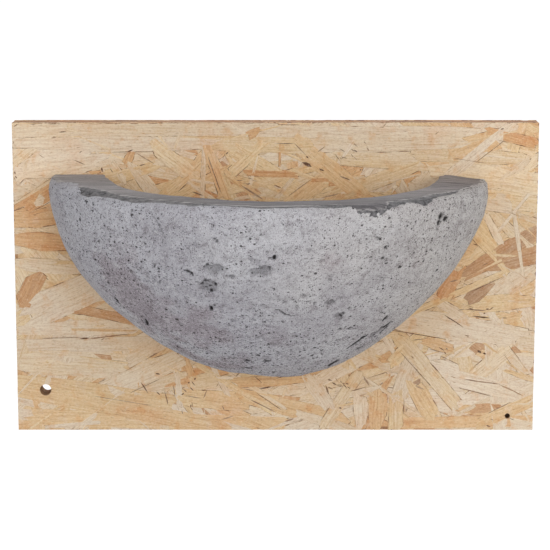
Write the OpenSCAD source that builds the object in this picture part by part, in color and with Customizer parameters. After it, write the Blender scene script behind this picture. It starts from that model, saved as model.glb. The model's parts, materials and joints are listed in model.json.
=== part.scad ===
// Swallow nest: a cast half bowl, screwed from behind to a strand board that is fixed to a wall.
// The origin is the centre of the board's rear face. +Y points into the wall, +X to the viewer's
// right and +Z up, so the bowl stands out along -Y. All sizes are in millimetres.

/* [Board] */
// Width of the backing board
board_w = 250; // [236:1:340]
// Height of the backing board
board_h = 150; // [130:1:240]
// Thickness of the backing board
board_t = 12; // [8:0.5:22]
// Diameter of the hole for the wall screw
fixing_hole_d = 5.5; // [4:0.1:7]
// Wall screw hole, in from the left edge
fixing_hole_in = 13.6; // [8:0.2:20]
// Wall screw hole, up from the lower edge
fixing_hole_up = 20; // [8:0.5:40]
// Diameter of the small hole for a nail
nail_hole_d = 2.6; // [2:0.1:4]
// Nail hole, in from the right edge
nail_hole_in = 12.4; // [5:0.2:20]
// Nail hole, up from the lower edge
nail_hole_up = 7; // [4:0.5:20]

/* [Bowl] */
// Outer radius of the bowl, at its rim
bowl_r = 104.5; // [88:0.5:114]
// Height of the bowl, from the rim to the underside
bowl_h = 96.5; // [86:0.5:115]
// Thickness of the wall at the rim
wall = 23; // [18:0.5:32]
// Thickness of the floor at the board
floor_t = 22; // [17:0.5:30]
// Height of the rim above the middle of the board
rim_z = 48.5; // [42:0.5:60]
// Sideways place of the bowl on the board
bowl_x = -3.8; // [-8:0.2:8]
// How slowly the side leaves the vertical below the rim
side_power = 1.7; // [1.6:0.05:2.4]
// How flat the underside is
base_power = 1.66; // [1.4:0.02:2.2]
// Rounding of the rim's outer edge
rim_round_out = 5; // [1:0.5:7]
// Rounding of the rim's inner edge
rim_round_in = 3; // [1:0.5:6]

/* [Screws] */
// Outer diameter of the thread
screw_d = 4; // [3.5:0.1:4.5]
// Diameter of the thread's core
screw_core_d = 2.6; // [2:0.1:3]
// Diameter of the smooth neck under the head
screw_neck_d = 3; // [2.6:0.1:3.4]
// Distance from one turn of the thread to the next
screw_pitch = 2; // [1.6:0.1:3]
// Diameter of the countersunk head
screw_head_d = 8; // [7:0.1:9]
// Thickness of the head's straight edge
screw_head_edge = 0.4; // [0.2:0.1:0.8]
// How far the head lies below the board's rear face
screw_head_sink = 0.4; // [0.1:0.1:1]
// Length of thread in the plug, without the tip
screw_bite = 17; // [12:0.5:20]
// Length of the pointed tip
screw_tip = 4; // [2:0.5:5]
// Diameter of the tip's blunt end
screw_tip_d = 0.5; // [0.3:0.1:1]
// Width across the arms of the cross recess
recess_w = 4.2; // [3:0.1:5]
// Thickness of each arm of the cross recess
recess_arm = 0.9; // [0.6:0.1:1.2]
// Depth of the cross recess
recess_depth = 1.7; // [1:0.1:2]
// Drop of the two side screws below the rim
side_screw_drop = 25; // [16:0.5:36]

/* [Plugs] */
// Outer diameter of the wall plug
plug_d = 6; // [5.4:0.1:8]
// Length of the wall plug
plug_len = 25; // [23:0.5:30]
// Width of the plug's expansion slot
plug_slot = 0.8; // [0.5:0.1:1.2]
// Length of the plug's unslotted collar
plug_collar = 6; // [4:0.5:10]

/* [Clearances] */
// Gap between the thread and its way through the board, on the radius
through_clear = 0.25; // [0.1:0.05:0.5]
// Gap between the screw's head and its countersink
head_clear = 0.05; // [0.02:0.01:0.2]
// Gap between the thread and the plug, on the radius
thread_clear = 0.05; // [0.02:0.01:0.1]
// Gap between the plug and its hole in the bowl, on the radius
plug_clear = 0.05; // [0.02:0.01:0.2]
// Free depth past the end of the plug
plug_end_clear = 0.5; // [0.2:0.1:2]

/* [Hidden] */

// Steps along each curve of the bowl's section, and along each rounded rim edge
curve_steps = 26;
round_steps = 5;
// Each turn of the thread is drawn with this many slices, of this many sides
thread_slices = 8;
thread_sides = 12;
// Sides of a drawn circle: small rounds, and the bowl
round_sides = 48;
bowl_sides = 180;
// Cutting tools run this far past the faces that they open
overrun = 1;
// The neck, thread and tip of a screw run this far into each other
lap = 0.2;

board_front = -board_t;
cup_r = bowl_r - wall;
cup_h = bowl_h - floor_t;

// The neck ends and the thread starts at the board's front face
neck_end = board_t - screw_head_sink;
thread_turns = screw_bite / screw_pitch;

plug_hole_d = plug_d + 2 * plug_clear;
plug_hole_depth = plug_len + plug_end_clear;
plug_bore_d = screw_d + 2 * thread_clear;

// The bowl's section is a quarter of a superellipse. Its radius at a drop below the rim:
function section_r(r, h, drop) = r * pow(1 - pow(drop / h, side_power), 1 / base_power);
// Its drop below the rim at a radius:
function section_drop(r, h, at_r) = h * pow(1 - pow(at_r / r, base_power), 1 / side_power);
// A point of the section, from the rim (0 degrees) to the axis (90 degrees):
function section_point(r, h, angle) =
    [r * pow(cos(angle), 2 / base_power), -h * pow(sin(angle), 2 / side_power)];
// The angle of the section's point at a drop below the rim:
function section_angle(h, drop) = asin(pow(drop / h, side_power / 2));

function section_curve(r, h, drop, steps) =
    let (first = section_angle(h, drop))
    [for (i = [0:steps]) section_point(r, h, first + (90 - first) * i / steps)];
function reversed(points) = [for (i = [len(points) - 1:-1:0]) points[i]];
// A quarter round from the rim's top down to the side, towards the axis or away from it
function rim_edge(r, side, radius, steps) =
    [for (i = [0:steps - 1])
        let (a = 90 * i / steps)
        [r - side * radius * (1 - sin(a)), -radius * (1 - cos(a))]];

function bowl_section() =
    let (
        outer = section_curve(bowl_r, bowl_h, rim_round_out, curve_steps),
        inner = section_curve(cup_r, cup_h, rim_round_in, curve_steps),
        outer_edge = rim_edge(outer[0][0], 1, rim_round_out, round_steps),
        inner_edge = rim_edge(inner[0][0], -1, rim_round_in, round_steps)
    )
    concat(outer_edge, outer, reversed(inner), reversed(inner_edge));

// Each plug lies midway between the cup at the board and the bowl's outside at the plug's far end
side_r = section_r(bowl_r, bowl_h, side_screw_drop);
side_seat_x = (section_r(cup_r, cup_h, side_screw_drop)
    + sqrt(side_r * side_r - plug_hole_depth * plug_hole_depth)) / 2;
lower_seat_drop = (cup_h + section_drop(bowl_r, bowl_h, plug_hole_depth)) / 2;

// Places of the three screws on the board, as x and z
seat_left = [bowl_x - side_seat_x, rim_z - side_screw_drop];
seat_right = [bowl_x + side_seat_x, rim_z - side_screw_drop];
seat_lower = [bowl_x, rim_z - lower_seat_drop];
seats = [seat_left, seat_right, seat_lower];

// Stands a child that runs along +Z at a place on the board, running along -Y from y
module into_front(at, y) {
    translate([at[0], y, at[1]]) rotate([90, 0, 0]) children();
}

// A hole right through the board
module board_hole(at, d) {
    into_front(at, overrun) cylinder(h = board_t + 2 * overrun, d = d, $fn = round_sides);
}

// Through hole and square countersink for one screw, opened from the board's rear face
module screw_hole(at) {
    mouth_r = screw_head_d / 2 + head_clear;
    through_r = screw_d / 2 + through_clear;
    cone_start = screw_head_sink + screw_head_edge;
    into_front(at, 0)
        rotate_extrude($fn = round_sides)
            polygon([
                [0, -overrun],
                [mouth_r, -overrun],
                [mouth_r, cone_start],
                [through_r, cone_start + mouth_r - through_r],
                [through_r, board_t + overrun],
                [0, board_t + overrun]
            ]);
}

module back_board() {
    color("burlywood")
    difference() {
        translate([-board_w / 2, board_front, -board_h / 2]) cube([board_w, board_t, board_h]);
        board_hole([fixing_hole_in - board_w / 2, fixing_hole_up - board_h / 2], fixing_hole_d);
        board_hole([board_w / 2 - nail_hole_in, nail_hole_up - board_h / 2], nail_hole_d);
        for (at = seats) screw_hole(at);
    }
}

module nest_bowl() {
    color("darkgray")
    difference() {
        translate([bowl_x, board_front, rim_z]) rotate([0, 0, 180])
            rotate_extrude(angle = 180, $fn = bowl_sides) polygon(bowl_section());
        for (at = seats)
            into_front(at, board_front + overrun)
                cylinder(h = plug_hole_depth + overrun, d = plug_hole_d, $fn = round_sides);
    }
}

// The thread is an off-centre round that turns as it rises, so its crest winds around the core
module thread() {
    mean_r = (screw_d + screw_core_d) / 4;
    throw = (screw_d - screw_core_d) / 4;
    linear_extrude(height = screw_bite, twist = -360 * thread_turns,
            slices = ceil(thread_turns * thread_slices))
        translate([throw, 0]) circle(r = mean_r, $fn = thread_sides);
}

module screw(at) {
    head_r = screw_head_d / 2;
    neck_r = screw_neck_d / 2;
    color("silver")
    into_front(at, -screw_head_sink)
    difference() {
        union() {
            rotate_extrude($fn = round_sides)
                polygon([
                    [0, 0],
                    [head_r, 0],
                    [head_r, screw_head_edge],
                    [neck_r, screw_head_edge + head_r - neck_r],
                    [neck_r, neck_end + lap],
                    [0, neck_end + lap]
                ]);
            translate([0, 0, neck_end]) thread();
            translate([0, 0, neck_end + screw_bite - lap])
                cylinder(h = screw_tip + lap, r1 = screw_core_d / 2 - lap, r2 = screw_tip_d / 2,
                    $fn = round_sides);
        }
        for (turn = [0, 90])
            rotate([0, 0, turn])
                translate([-recess_w / 2, -recess_arm / 2, -overrun])
                    cube([recess_w, recess_arm, recess_depth + overrun]);
    }
}

module plug(at) {
    color("whitesmoke")
    into_front(at, board_front)
    difference() {
        cylinder(h = plug_len, d = plug_d, $fn = round_sides);
        translate([0, 0, -overrun])
            cylinder(h = plug_len + 2 * overrun, d = plug_bore_d, $fn = round_sides);
        translate([-plug_d, -plug_slot / 2, plug_collar])
            cube([2 * plug_d, plug_slot, plug_len]);
    }
}

back_board();
nest_bowl();
screw(seat_left);  // screw_left
screw(seat_right);  // screw_right
screw(seat_lower);  // screw_lower
plug(seat_left);  // plug_left
plug(seat_right);  // plug_right
plug(seat_lower);  // plug_lower
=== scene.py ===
import json
import math
import random
import bmesh
import bpy
import numpy as np
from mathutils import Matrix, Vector, kdtree, noise


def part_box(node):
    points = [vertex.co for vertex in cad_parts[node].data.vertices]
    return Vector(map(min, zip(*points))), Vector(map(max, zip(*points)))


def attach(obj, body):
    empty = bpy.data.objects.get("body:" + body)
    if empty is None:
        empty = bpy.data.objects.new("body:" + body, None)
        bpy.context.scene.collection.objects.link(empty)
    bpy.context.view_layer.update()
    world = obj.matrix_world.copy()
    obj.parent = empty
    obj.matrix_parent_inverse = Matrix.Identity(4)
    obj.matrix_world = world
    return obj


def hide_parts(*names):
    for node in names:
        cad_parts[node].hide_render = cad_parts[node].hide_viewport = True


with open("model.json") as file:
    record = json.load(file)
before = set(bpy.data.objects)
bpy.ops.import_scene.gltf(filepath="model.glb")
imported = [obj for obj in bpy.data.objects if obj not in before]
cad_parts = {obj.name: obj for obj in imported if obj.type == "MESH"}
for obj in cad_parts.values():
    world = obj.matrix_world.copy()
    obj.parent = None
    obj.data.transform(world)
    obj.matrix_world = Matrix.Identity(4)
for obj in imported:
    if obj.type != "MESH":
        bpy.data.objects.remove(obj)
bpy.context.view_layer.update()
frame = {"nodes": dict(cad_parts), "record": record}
mm = 0.001  # pieces are worked out in millimetres and written in metres
print("frame loaded:", ", ".join(sorted(frame["nodes"])))


# Shader sums: a wrapped socket takes part in plain Python expressions
class Value:
    def __init__(self, owner, node, out=0):
        self.owner = owner
        self.node = node
        self.socket = node.outputs[out] if node.outputs else None

    def also(self, name):  # another output of the same node
        return Value(self.owner, self.node, name)

    def math(self, operation, first, second):
        return self.owner.node("ShaderNodeMath", {"operation": operation}, {0: first, 1: second})

    def __add__(self, other):
        return self.math("ADD", self, other)

    def __radd__(self, other):
        return self.math("ADD", other, self)

    def __sub__(self, other):
        return self.math("SUBTRACT", self, other)

    def __rsub__(self, other):
        return self.math("SUBTRACT", other, self)

    def __mul__(self, other):
        return self.math("MULTIPLY", self, other)

    def __rmul__(self, other):
        return self.math("MULTIPLY", other, self)

    def __truediv__(self, other):
        return self.math("DIVIDE", self, other)

    def __pow__(self, other):
        return self.math("POWER", self, other)


def paint(red, green, blue):  # a colour as it looks on a screen, 0 to 255
    return tuple(((c / 255 + 0.055) / 1.055) ** 2.4 for c in (red, green, blue)) + (1.0,)


class Nodes:  # the nodes of a finish or of the studio's light
    def __init__(self, tree):
        self.tree = tree
        self.tree.nodes.clear()

    def feed(self, socket, value):
        if isinstance(value, Value):
            self.tree.links.new(value.socket, socket)
        else:
            socket.default_value = value

    def node(self, kind, settings=None, sockets=None, out=0):
        made = self.tree.nodes.new(kind)
        for key, value in (settings or {}).items():
            if key == "stops":
                ramp = made.color_ramp
                while len(ramp.elements) < len(value):
                    ramp.elements.new(1.0)
                for element, (place, colour) in zip(ramp.elements, value):
                    element.position = place
                    element.color = colour
            else:
                setattr(made, key, value)
        for key, value in (sockets or {}).items():
            self.feed(made.inputs[key], value)
        return Value(self, made, out)

    def rise(self, value, low, high):  # 0 at low, 1 at high, smooth between
        sockets = {"Value": value, "From Min": low, "From Max": high}
        return self.node("ShaderNodeMapRange", {"interpolation_type": "SMOOTHSTEP"}, sockets)

    def seen(self):  # 1 for rays from the camera, off metal or through glass, which show the background
        path = self.node("ShaderNodeLightPath", out="Is Camera Ray")
        return self.rise(path + path.also("Is Glossy Ray") + path.also("Is Transmission Ray"), 0.0, 1.0)


class Finish(Nodes):
    def __init__(self, name, **fixed):
        self.material = bpy.data.materials.new(name)
        self.material.use_nodes = True
        super().__init__(self.material.node_tree)
        self.shader = self.node("ShaderNodeBsdfPrincipled", None, fixed)
        self.output = self.node("ShaderNodeOutputMaterial", None, {"Surface": self.shader})

    def mix(self, factor, first, second, blend="MIX"):
        settings = {"data_type": "RGBA", "blend_type": blend}
        return self.node("ShaderNodeMix", settings, {0: factor, 6: first, 7: second}, out=2)

    def tint(self, factor, first, second):
        return self.mix(factor, first, second, "MULTIPLY")

    def wash(self, base, layers):  # layers: blend, mask, where it starts, where it is full, share, colour
        for blend, mask, start, full, share, colour in layers:
            base = self.mix(self.rise(mask, start, full) * share, base, paint(*colour), blend)
        return base

    def stretch(self, vector, x, y, z):
        return self.node("ShaderNodeVectorMath", {"operation": "MULTIPLY"}, {0: vector, 1: (x, y, z)})

    def place(self, scale):  # the part's own coordinates, in units of 1/scale mm
        coords = self.node("ShaderNodeTexCoord", out="Object")
        return self.stretch(coords, scale / mm, scale / mm, scale / mm)

    def axis(self, name):  # the part's own X, Y or Z, in mm
        return self.node("ShaderNodeSeparateXYZ", None, {0: self.place(1.0)}, out=name)

    def clouds(self, vector, detail=2.0, roughness=0.5, distortion=0.0):
        sockets = {"Vector": vector, "Scale": 1.0, "Detail": detail,
                   "Roughness": roughness, "Distortion": distortion}
        return self.node("ShaderNodeTexNoise", None, sockets)

    def attribute(self, name):
        return self.node("ShaderNodeAttribute", {"attribute_name": name}, out="Fac")

    def finish(self, colour, roughness, height, strength, distance):
        bump = self.node("ShaderNodeBump", None,
                         {"Height": height, "Strength": strength, "Distance": distance * mm})
        made = {"Base Color": colour, "Roughness": roughness, "Normal": bump}
        for key, value in made.items():
            self.feed(self.shader.node.inputs[key], value)
        return self.material


def addPiece(name, mesh, material, replaced):
    piece = bpy.data.objects.new(name, mesh)
    bpy.context.scene.collection.objects.link(piece)
    mesh.materials.clear()
    mesh.materials.append(material)
    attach(piece, "root")
    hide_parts(replaced)
    return piece


def setFloats(mesh, name, values):
    made = mesh.attributes.new(name, "FLOAT", "POINT")
    made.data.foreach_set("value", np.asarray(values, np.float32))


def setMap(mesh, name, pairs):  # one pair per face corner
    made = mesh.uv_layers.new(name=name)
    made.data.foreach_set("uv", np.asarray(pairs, np.float32).ravel())


def cornersOf(mesh):  # the point at each face corner
    corners = np.zeros(len(mesh.loops), np.int32)
    mesh.loops.foreach_get("vertex_index", corners)
    return corners


def placesOf(mesh):  # the points of a mesh, in mm
    places = np.zeros(len(mesh.vertices) * 3)
    mesh.vertices.foreach_get("co", places)
    return places.reshape(-1, 3) / mm


def boxOf(name):  # low and high corner of a solid, in mm
    return [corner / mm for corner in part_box(name)]


# Backing board: pressed strands on both faces, sawn flake ends on the four edges, a dark core between
boardLow, boardHigh = boxOf("back_board")
boardFront, boardBack = boardLow.y, boardHigh.y
halfWide, halfHigh = boardHigh.x, boardHigh.z

boardLook = {
    "seed": 41,
    "coreFront": 1.3,  # how deep the dark core lies under the front strands
    "coreBack": 0.3,
    "coreEdge": 0.5,
    "strandThick": 0.7,
    "rimWidth": 0.7,  # pressed-down border of each strand
    "rimShare": 0.22,  # and at most this share of the strand's width
    "rimDrop": 0.07,
    "islandGap": 1.6,
    "wallFold": 0.4,  # side walls unfold this far outside the top on the sheet
    "holeSides": 24,
    "headClear": 0.05,  # gap round the head of a screw
    "deepest": 0.62,  # no strand lies deeper than this
    "tilt": (0.09, 0.07),  # along and across a strand, so that no two lie in one plane
    "least": (0.01, 0.03),  # shallowest depth, and what chance adds
    "tuck": 0.12,  # sawn ends stop up to this far inside the edges
    "leastArea": 0.25,
    "leastSide": 0.25,
    "leastCut": 0.02,  # smaller crumbs round a hole are dropped
    "grainSpread": 900,
    "endSlant": 0.7,
    "endNarrow": (0, 0.1, 0.2, 0.45),
    "waver": 0.09,
    "splinter": (-0.25, 0.45),
    "widest": 0.4,  # no strand is wider than this share of its length
    "levelShare": 0.62,  # strands that lie nearly level, and how far they turn
    "levelTurn": 26,
    # layers from the lowest up: count, depth range, length range, width range
    "layers": [
        (340, (0.34, 0.55), (30, 85), (8, 18)),
        (220, (0.18, 0.36), (20, 70), (6, 15)),
        (110, (0.05, 0.22), (16, 60), (4, 12)),
        (110, (0.00, 0.10), (8, 34), (0.8, 3)),
    ],
    # how often a strand has each tone, pale cream to grey brown
    "tones": [(0.06, 24), (0.18, 26), (0.30, 24), (0.42, 14), (0.56, 7), (0.70, 2), (0.84, 0.6)],
    "toneSpread": 0.07,
    "chipEdge": 0.80,  # tone at the border of a dark chip
    "splitShadeTone": 0.96,
    "splitShadeEdge": 0.88,
    "splitSeed": 5,
    "borderDepth": 0.045,  # strands that lie no deeper than this show splits along their long sides
    "borderShare": 0.4,
    "borderRun": (0.2, 0.55),
    "borderWidth": (0.3, 0.5),
    "borderLeast": 12,  # shorter strands have none
    "borderLean": 1.5,
    "groupLength": (1.2, 3.6),
    "groupWidth": (0.35, 0.8),
    "groupTurn": 15,
    "strays": 36,
    "strayLength": (1.5, 7),
    "strayWidth": (0.35, 0.7),
    "strayTurn": 32,
    "rearDepth": 0.45,  # the rear strands lie flatter, by this share
    "bowlFoot": (-4, 48, 104, 96),  # the bowl on the board, round which the board gets painted shade: middle, rim, half width, height
}

# strands that stand out on the front: x, z, length, width, angle in degrees, tone, depth
frontStrands = [
    (-62, 71.5, 124, 6.5, 0.5, 0.16, 0.02), (10, 70.5, 90, 7, -1.5, 0.12, 0.06),
    (-75, 65, 98, 8, 0, 0.08, 0.03), (-20, 66, 72, 9.5, -3, 0.3, 0.09),
    (-104, 55.5, 42, 15, 8, 0.05, 0.04), (-78, 57, 56, 9, 3, 0.2, 0.12),
    (-99, 49.5, 22, 3.2, 37, 0.22, 0), (-70, 50, 26, 6, 20, 0.34, 0.02),
    (-62, 46.5, 22, 7, -52, 0.12, 0.03), (-44, 53, 34, 8, -38, 0.26, 0.05),
    (-28.5, 51.5, 27, 5.3, -71, 0.5, 0), (-15, 44.5, 22, 3.6, -36, 0.44, 0),
    (-36, 45, 38, 7, 28, 0.38, 0.08), (-13, 58.5, 23, 5.7, 43, 0.34, 0.01),
    (-2, 50.6, 25, 3.8, -3, 0.66, 0.01), (24, 54, 38, 9.5, -39, 0.44, 0), (34, 61.5, 10, 2, 58, 0.06, 0),
    (15, 41.5, 34, 8, 38, 0.44, 0.02), (30, 41, 26, 7, 42, 0.5, 0.03), (52, 66, 76, 10, 1, 0.16, 0.05),
    (58, 57, 60, 9, -4, 0.26, 0.08), (92, 59, 52, 8.5, -3, 0.27, 0.07), (92, 57, 52, 6, 39, 0.06, 0),
    (100, 49.5, 58, 12, -9, 0.22, 0.04), (112, 68, 24, 5.5, -14, 0.62, 0.02),
    (47, 46.5, 46, 8, 20, 0.3, 0.05), (110, 38, 34, 9, -6, 0.3, 0.08),
    (109, 12.5, 44, 9.5, 31, 0.8, 0.06), (113, 8.5, 28, 9, 14, 0.8, 0.05),
    (116.5, 15, 36, 2.4, -81, 0.1, 0), (104, 24, 18, 4, -62, 0.16, 0.02),
    (-113, 30, 26, 11, 4, 0.54, 0.08), (-112, 18, 28, 9, -3, 0.6, 0.1), (-110, 6, 34, 8, -6, 0.18, 0.05),
    (-118, -5.5, 14, 9, 62, 0.72, 0.04), (-98, -8.5, 42, 16, 24, 0.07, 0.03),
    (-84, -17.5, 34, 4.6, -13, 0.72, 0.02), (-96, -24.5, 58, 7.5, 2, 0.1, 0.05),
    (-92, -32.5, 64, 7, 1, 0.06, 0.02), (-98, -42, 54, 13, -2, 0.22, 0.06),
    (-60, -33, 24, 9.5, 30, 0.13, 0.01), (-62, -46.5, 36, 11, 24, 0.16, 0),
    (-88, -56, 78, 9, -9, 0.4, 0.03), (-70, -65.5, 116, 8.5, -10, 0.44, 0.01),
    (-58, -70.5, 122, 8, -2, 0.42, 0.07), (-47, -55, 17, 4.2, -84, 0.06, 0),
    (-42, -47, 15, 6, -70, 0.56, 0.05), (-20, -54, 44, 3.4, -33, 0.33, 0),
    (-12, -53, 40, 3, -34, 0.2, 0.03), (-28, -60, 34, 10, -4, 0.42, 0.06),
    (8, -64, 52, 9, -14, 0.46, 0.07), (21, -56, 20, 7.4, -56, 0.05, 0), (32, -60, 30, 6, 58, 0.26, 0.02),
    (42, -56, 16, 3.6, 14, 0.12, 0.01), (49.5, -65.5, 17, 9.5, 88, 0.46, 0.01),
    (58.5, -65, 19, 7.5, 89, 0.3, 0.02), (55, -57, 31, 1.8, -33, 0.16, 0),
    (64, -45, 30, 8, 72, 0.08, 0.05), (74, -46, 44, 8, -50, 0.26, 0.02),
    (66, -33, 30, 8.5, 40, 0.3, 0.06), (86, -24, 66, 12.5, -9, 0.07, 0.03),
    (86, -8, 52, 3.6, 24, 0.34, 0), (84, -2.5, 16, 8.5, 62, 0.7, 0), (97, -7, 14, 8, 40, 0.9, 0.05),
    (106, -12, 38, 9, 3, 0.34, 0.06), (84, -15, 20, 5, -30, 0.06, 0),
    (78.5, -33, 16, 5.5, -14, 0.54, 0.03), (112, -36, 26, 4.6, -52, 0.1, 0),
    (102, -44, 28, 9, 40, 0.24, 0.05), (98, -52, 44, 8.5, -14, 0.05, 0.02),
    (102, -64, 12, 4.5, 4, 0.74, 0.01), (112, -66, 30, 6.5, 24, 0.42, 0.02),
    (92, -71, 64, 6, 1, 0.54, 0.06), (-69.5, 58.5, 7, 4.4, 62, 0.58, 0), (21, 47.5, 8, 2.6, 0, 0.66, 0),
    (28.5, 45.5, 7, 2.8, -8, 0.64, 0), (-10.5, 70, 7, 4.5, 30, 0.6, 0.01),
    (2, 59.5, 11, 1.2, 89, 0.62, 0), (13, 58, 2.5, 1.5, -20, 0, 0), (1, 44, 2.5, 1, -25, 0, 0),
    (41.5, -65.5, 17, 7.5, 92, 0.14, 0.02), (83, -43.5, 14, 7.5, -20, 0.04, 0.01),
    (-24, -49, 8, 2, 1, 0.04, 0), (-24, -52, 7, 1.8, 1, 0.05, 0), (-110, 41, 26, 9, 33, 0.66, 0.02),
    (-112, 44, 30, 1.8, 32, 0.22, 0), (-75, 51.5, 12, 4.2, -55, 0.16, 0), (-50, 43, 18, 6, 40, 0.4, 0),
    (-108, 36.5, 18, 5, -12, 0.62, 0.03), (-79, 50.5, 9, 5, 10, 0.3, 0), (-55, -52.5, 26, 8, 14, 0.2, 0),
    # the strand at -2, -50.5 has a darker tone as painted shade under the bowl
    (-35, -51, 14, 8, 8, 0.26, 0), (-2, -50.5, 34, 6, 3, 0.5, 0), (72, -61, 20, 9, -60, 0.4, 0),
]

# dark chips between the strands, and holes there whose shade is painted as dark flakes: x, z, length, width,
# angle in degrees
darkChips = [
    (-69, 61.5, 3.5, 1.2, 20), (15, 55, 5.5, 2.6, -24), (15, 58.5, 1.8, 1.2, -34),
    (22, 52.5, 3.2, 1.5, -27), (40.5, 52.5, 1, 0.8, -36), (-23, 60.5, 2, 0.9, 45),
    (-82.5, 52.5, 2.5, 1.3, -73), (-63.5, -54, 7, 1.2, -58), (-57, -47, 2.5, 1.3, -15),
    (98.5, -36, 2.6, 1.6, -30), (101, -37, 2, 1.2, -20), (-101, 70.5, 4, 0.8, 1),
    (-92.5, 61, 2, 0.8, 36), (-124, 51, 1.6, 1.1, -76), (-123.5, 49, 1.7, 1.1, -53),
    (-39, -49.5, 1.6, 1.4, 30), (-42, -51.5, 1.3, 1, 10), (-45, -57, 2, 1, 30),
    (107.5, 72, 2.2, 0.8, 15), (-92, -29.5, 5, 0.9, 2), (103.5, -73, 2.6, 1, -15),
    (31.5, -64, 1.7, 1.2, -20), (-41, -63, 2, 1.2, 75),
]

# splits that stand out, drawn as dark strips for the painted shade in the cracks, in the same order
splits = [
    (-11, 41.5, 13, 0.9, -33), (4, 65, 10, 0.6, 0), (12, 62, 9, 0.7, -45), (33, 48.5, 6, 0.8, -22),
    (-37, 41, 6, 1, -18), (26, 40, 10, 0.8, 15), (1, 44.5, 4, 0.8, -18), (-29, 50, 20, 0.5, -71),
    (-53, -59, 8, 0.8, -77), (-34, -57, 5, 0.7, 68), (-40, -58.5, 9, 0.6, -10), (-5, -54, 6, 0.8, 10),
    (-6, -63, 14, 0.6, -27), (44, -50.5, 6, 1.1, -60), (25, -55, 5, 1, -72), (70, -54, 5, 0.8, -22),
    (77, -44, 8, 0.7, -48), (-80, -28.5, 20, 0.8, 7), (96, -15.5, 11, 0.8, -5), (99, -19, 9, 0.8, -6),
    (86, -21, 12, 0.7, -34), (100, -51, 18, 0.7, -8), (114, -55, 14, 0.7, -26), (-62, 58, 11, 0.6, -32),
]

# clusters of short splits: x, z, spread across and up, count, angle
splitGroups = [
    (35, 61, 4, 3, 11, -45), (-13, 46, 3, 1.5, 7, -10), (32, -52, 3, 2.5, 10, -35),
    (-44, -55, 7, 5, 8, -50), (83, -38, 9, 7, 9, -30), (97, -17, 6, 2.5, 7, -5),
]


def holeAt(name):  # centre x, z and radius of a mount's hole
    mount = next(m for m in frame["record"]["mounts"] if m["name"] == name)
    return mount["pos_m"][0] / mm, mount["pos_m"][2] / mm, mount["dims"]["r_mm"]


def roundOf(name, clear):  # centre x, z and radius of the hole that a screw or plug sits in
    low, high = boxOf(name)
    return (low.x + high.x) / 2, (low.z + high.z) / 2, (high.x - low.x) / 2 + clear


screwNames = ("screw_left", "screw_right", "screw_lower")
plugNames = ("plug_left", "plug_right", "plug_lower")
wallHoles = [holeAt("fixing_hole"), holeAt("nail_hole")]
rearHoles = wallHoles + [roundOf(name, boardLook["headClear"]) for name in screwNames]


def keepSide(points, normal, reach):  # the part of an outline with normal . point <= reach
    kept = []
    for here, there in zip(points, points[1:] + points[:1]):
        a = here[0] * normal[0] + here[1] * normal[1] - reach
        b = there[0] * normal[0] + there[1] * normal[1] - reach
        if a <= 0:
            kept.append(here)
        if a * b < 0:
            t = a / (a - b)
            kept.append((here[0] + t * (there[0] - here[0]), here[1] + t * (there[1] - here[1])))
    return kept


def areaOf(points):
    return sum(a[0] * b[1] - b[0] * a[1] for a, b in zip(points, points[1:] + points[:1])) / 2


def cutHole(outline, hole):  # pieces of an outline that lie outside a round hole
    x, z, radius = hole
    pieces, rest = [], outline
    for k in range(boardLook["holeSides"]):
        turn = 2 * math.pi * k / boardLook["holeSides"]
        normal = (math.cos(turn), math.sin(turn))
        reach = x * normal[0] + z * normal[1] + radius
        pieces.append(keepSide(rest, (-normal[0], -normal[1]), -reach))
        rest = keepSide(rest, normal, reach)
        if len(rest) < 3:
            break
    return [p for p in pieces if len(p) > 2 and abs(areaOf(p)) > boardLook["leastCut"]]


def strandOutline(rng, length, width):  # split sides that waver a little, splintered ends
    half, side = length / 2, width / 2
    lean, waver = boardLook["endSlant"], boardLook["waver"]
    slant = [rng.uniform(-lean, lean) * width for end in range(2)]
    narrow = [1 - rng.choice(boardLook["endNarrow"]) for end in range(2)]
    sideCount, endCount = rng.randint(2, 4), rng.randint(2, 5)

    def edge(sign):
        row = []
        for k in range(sideCount + 1):
            t = 2 * k / sideCount - 1
            bend = rng.uniform(-waver, waver) if 0 < k < sideCount else 0.0
            wide = side * (1 - (1 - narrow[1 if t > 0 else 0]) * t * t + bend)
            back = slant[1 if t > 0 else 0] * abs(t) * sign / 2
            row.append((t * half - back, sign * wide))
        return row

    def splinters(sign, low, high):
        row = []
        for k in range(1, endCount):
            t = k / endCount + rng.uniform(-0.2, 0.2) / endCount
            jut = sign * width * rng.uniform(*boardLook["splinter"])
            row.append((low[0] + (high[0] - low[0]) * t + jut, low[1] + (high[1] - low[1]) * t))
        return row

    lower, upper = edge(-1), edge(1)[::-1]
    return lower + splinters(1, lower[-1], upper[0]) + upper + splinters(-1, upper[-1], lower[0])


def chipOutline(rng, length, width):  # a split that runs out to a point at both ends
    half, side = length / 2, width / 2
    wide = [side * rng.uniform(0.5, 1.1) for k in range(4)]
    return [(-half, rng.uniform(-0.3, 0.3) * side), (-half * 0.4, -wide[0]), (half * 0.3, -wide[1]),
            (half, rng.uniform(-0.3, 0.3) * side), (half * 0.4, wide[2]), (-half * 0.3, wide[3])]


def splitOutline(rng, length, width):  # a fine split of uneven width that runs out to a point at both ends
    half, steps = length / 2, max(3, round(length / 3))
    spots = [length * k / steps - half for k in range(1, steps)]
    lower = [(u, -width * rng.uniform(0.2, 0.55)) for u in spots]
    upper = [(u, width * rng.uniform(0.2, 0.55)) for u in reversed(spots)]
    return [(-half, 0.0)] + lower + [(half, 0.0)] + upper


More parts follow.
